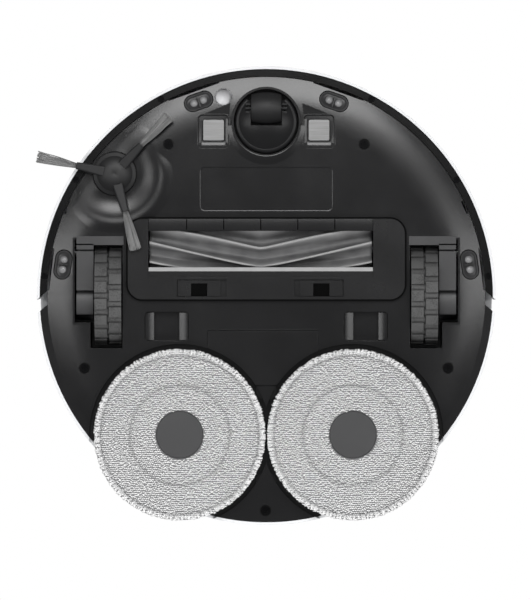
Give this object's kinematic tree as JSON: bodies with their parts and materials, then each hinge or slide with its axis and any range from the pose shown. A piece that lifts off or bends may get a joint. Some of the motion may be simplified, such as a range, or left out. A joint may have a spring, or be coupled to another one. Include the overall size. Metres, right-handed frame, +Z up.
{
  "type": "robot vacuum and mop",
  "caption": "Round robot vacuum with sprung drive wheels, front caster, rubber main brush, corner side brush, turning mop pads on a lift, sprung bumper and a lift-off top cover.",
  "frame": {"origin": "on the floor under the middle of the round body, with the robot standing on its wheels", "axes": "+Z up, +Y forward, the way the robot drives, +X to the robot's right"},
  "size_m": [0.3504, 0.35, 0.1019],
  "materials": {
    "charcoal_abs": "satin moulded",
    "white_abs": "gloss moulded",
    "grey_abs": "satin moulded",
    "smoked_tank": "clear smoked",
    "tread_rubber": "matt grained",
    "brush_rubber": "satin",
    "scraper_rubber": "satin",
    "nylon_bristle": "fine strands",
    "microfibre": "looped",
    "steel": "turned",
    "contact_metal": "brushed",
    "sensor_lens": "clear moulded",
    "sensor_face": "satin",
    "dark_window": "tinted gloss",
    "circuit_board": "solder mask",
    "battery_wrap": "shrink wrap"
  },
  "bodies": {
    "chassis": {"chassis_tray": "charcoal_abs", "rear_shell": "white_abs", "top_deck": "grey_abs", "caster_socket": "charcoal_abs", "brush_tunnel": "charcoal_abs", "brush_gear_case": "charcoal_abs", "brush_motor": "grey_abs", "brush_guard": "charcoal_abs", "guard_scraper": "scraper_rubber", "side_brush_motor": "grey_abs", "mop_lift_motor": "grey_abs", "carpet_sensor": "sensor_face", "battery_pack": "battery_wrap", "main_board": "circuit_board", "dust_bin": "smoked_tank", "water_tank": "smoked_tank", "water_pump": "grey_abs", "blower_housing": "grey_abs", "lidar_base": "grey_abs", "lidar_cap": "white_abs", "bumper_switches": "grey_abs", "chassis_screws": "steel", "cliff_sensor_housings": "charcoal_abs", "cliff_sensor_lenses": "sensor_lens", "arm_pivot_pins": "steel", "charge_bezels": "charcoal_abs", "charge_contacts": "contact_metal"},
    "bumper": {"bumper_skin": "white_abs", "bumper_lower_ring": "charcoal_abs", "bumper_window": "dark_window", "bumper_screws": "steel"},
    "side_brush": {"side_brush_hub": "charcoal_abs", "side_brush_sleeves": "brush_rubber", "side_brush_bristles": "nylon_bristle"},
    "caster_fork": {"caster_fork": "charcoal_abs", "caster_axle": "steel"},
    "caster_wheel": {"caster_wheel": "grey_abs"},
    "main_brush": {"brush_core": "grey_abs", "brush_fins": "brush_rubber"},
    "brush_pinion": {"brush_pinion": "grey_abs"},
    "wheel_arm_right": {"wheel_arm_right": "charcoal_abs"},
    "wheel_arm_left": {"wheel_arm_left": "charcoal_abs"},
    "drive_wheel_right": {"wheel_tyre_right": "tread_rubber", "wheel_hub_right": "charcoal_abs"},
    "drive_wheel_left": {"wheel_tyre_left": "tread_rubber", "wheel_hub_left": "charcoal_abs"},
    "mop_carriage": {"mop_carriage": "grey_abs", "mop_motor": "grey_abs"},
    "mop_right": {"mop_pad_right": "microfibre", "mop_plate_right": "grey_abs", "mop_shaft_right": "steel"},
    "mop_left": {"mop_pad_left": "microfibre", "mop_plate_left": "grey_abs", "mop_shaft_left": "steel"},
    "guard_latch_right": {"guard_latch_right": "charcoal_abs"},
    "guard_latch_left": {"guard_latch_left": "charcoal_abs"},
    "lidar_rotor": {"lidar_rotor": "grey_abs"},
    "blower_impeller": {"blower_impeller": "grey_abs"},
    "top_cover": {"top_cover": "white_abs"},
    "power_button": {"power_button": "white_abs"}
  },
  "joints": [
    {"name": "bumper_press", "type": "slide", "parent": "chassis", "child": "bumper", "axis": [0, -1, 0], "range_m": [0, 0.004], "stiffness_N_per_m": 400, "springref_m": -0.003},
    {"name": "side_brush_spin", "type": "hinge", "parent": "chassis", "child": "side_brush", "pos_m": [0.11565, 0.09299, 0], "axis": [0, 0, 1], "continuous": true},
    {"name": "caster_swivel", "type": "hinge", "parent": "chassis", "child": "caster_fork", "pos_m": [0, 0.1327, 0], "axis": [0, 0, 1], "continuous": true},
    {"name": "caster_roll", "type": "hinge", "parent": "caster_fork", "child": "caster_wheel", "pos_m": [0, 0.143, 0.0124], "axis": [1, 0, 0], "continuous": true},
    {"name": "main_brush_spin", "type": "hinge", "parent": "chassis", "child": "main_brush", "pos_m": [0, 0.0354, 0.027], "axis": [1, 0, 0], "continuous": true},
    {"name": "brush_pinion_spin", "type": "hinge", "parent": "chassis", "child": "brush_pinion", "pos_m": [0, 0.02055, 0.04185], "axis": [1, 0, 0], "continuous": true},
    {"name": "wheel_arm_right_drop", "type": "hinge", "parent": "chassis", "child": "wheel_arm_right", "pos_m": [0.1387, 0.033, 0.034], "axis": [1, 0, 0], "range_deg": [0, 12], "stiffness_Nm_per_rad": 0.43, "springref_deg": 20.05},
    {"name": "wheel_arm_left_drop", "type": "hinge", "parent": "chassis", "child": "wheel_arm_left", "pos_m": [-0.1387, 0.033, 0.034], "axis": [1, 0, 0], "range_deg": [0, 12], "stiffness_Nm_per_rad": 0.43, "springref_deg": 20.05},
    {"name": "drive_wheel_right_spin", "type": "hinge", "parent": "wheel_arm_right", "child": "drive_wheel_right", "pos_m": [0.1208, 0, 0.0378], "axis": [1, 0, 0], "continuous": true},
    {"name": "drive_wheel_left_spin", "type": "hinge", "parent": "wheel_arm_left", "child": "drive_wheel_left", "pos_m": [-0.1208, 0, 0.0378], "axis": [1, 0, 0], "continuous": true},
    {"name": "mop_lift", "type": "slide", "parent": "chassis", "child": "mop_carriage", "axis": [0, 0, 1], "range_m": [0, 0.009]},
    {"name": "mop_right_spin", "type": "hinge", "parent": "mop_carriage", "child": "mop_right", "pos_m": [0.066, -0.106, 0], "axis": [0, 0, 1], "continuous": true},
    {"name": "mop_left_spin", "type": "hinge", "parent": "mop_carriage", "child": "mop_left", "pos_m": [-0.066, -0.106, 0], "axis": [0, 0, 1], "continuous": true},
    {"name": "guard_latch_right_open", "type": "slide", "parent": "chassis", "child": "guard_latch_right", "axis": [-1, 0, 0], "range_m": [0, 0.004], "stiffness_N_per_m": 250, "springref_m": -0.003},
    {"name": "guard_latch_left_open", "type": "slide", "parent": "chassis", "child": "guard_latch_left", "axis": [1, 0, 0], "range_m": [0, 0.004], "stiffness_N_per_m": 250, "springref_m": -0.003},
    {"name": "lidar_spin", "type": "hinge", "parent": "chassis", "child": "lidar_rotor", "pos_m": [0, -0.035, 0.09], "axis": [0, 0, 1], "continuous": true},
    {"name": "blower_spin", "type": "hinge", "parent": "chassis", "child": "blower_impeller", "pos_m": [-0.07, -0.033, 0.04], "axis": [0, 0, 1], "continuous": true},
    {"name": "top_cover_lift", "type": "slide", "parent": "chassis", "child": "top_cover", "axis": [0, 0, 1], "range_m": [0, 0.04]},
    {"name": "power_button_press", "type": "slide", "parent": "chassis", "child": "power_button", "axis": [0, 0, -1], "range_m": [0, 0.001], "stiffness_N_per_m": 900, "springref_m": -0.0005}
  ],
  "couplings": [
    {"joint": "brush_pinion_spin", "follows": "main_brush_spin", "ratio": -1.8},
    {"joint": "mop_left_spin", "follows": "mop_right_spin", "ratio": -1}
  ]
}
